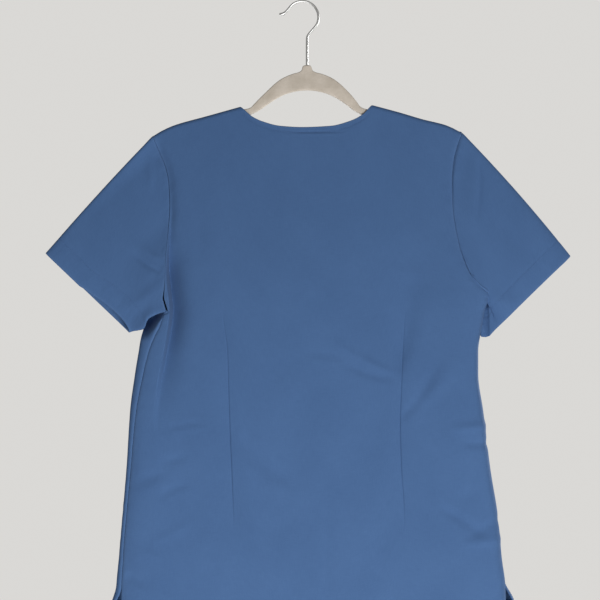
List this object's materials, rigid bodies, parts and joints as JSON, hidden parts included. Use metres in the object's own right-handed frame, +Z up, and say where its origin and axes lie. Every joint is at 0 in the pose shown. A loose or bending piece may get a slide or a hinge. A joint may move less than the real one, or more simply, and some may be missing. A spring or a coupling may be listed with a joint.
{
  "type": "short-sleeved scrub top on a hanger",
  "caption": "Short-sleeved medical scrub top with a scooped back neck, waist darts, set-in sleeves and side vents, hanging on a flat flocked hanger with a wire hook",
  "frame": {"origin": "on the inside of the wire hook's bend, at its top, where a rail or peg bears", "axes": "+Z up along the hook's stem; the garment's back faces -Y and its front faces +Y; the wearer's left is at -X"},
  "size_m": [0.679, 0.0582, 0.8094],
  "materials": {
    "scrub_cloth": "matte twill",
    "flocking": "velvet flock",
    "hook_wire": "polished"
  },
  "bodies": {
    "root": {"back_panel": "scrub_cloth", "front_panel": "scrub_cloth", "sleeve_left": "scrub_cloth", "sleeve_right": "scrub_cloth", "hanger_body": "flocking", "hanger_hook": "hook_wire"}
  },
  "joints": []
}
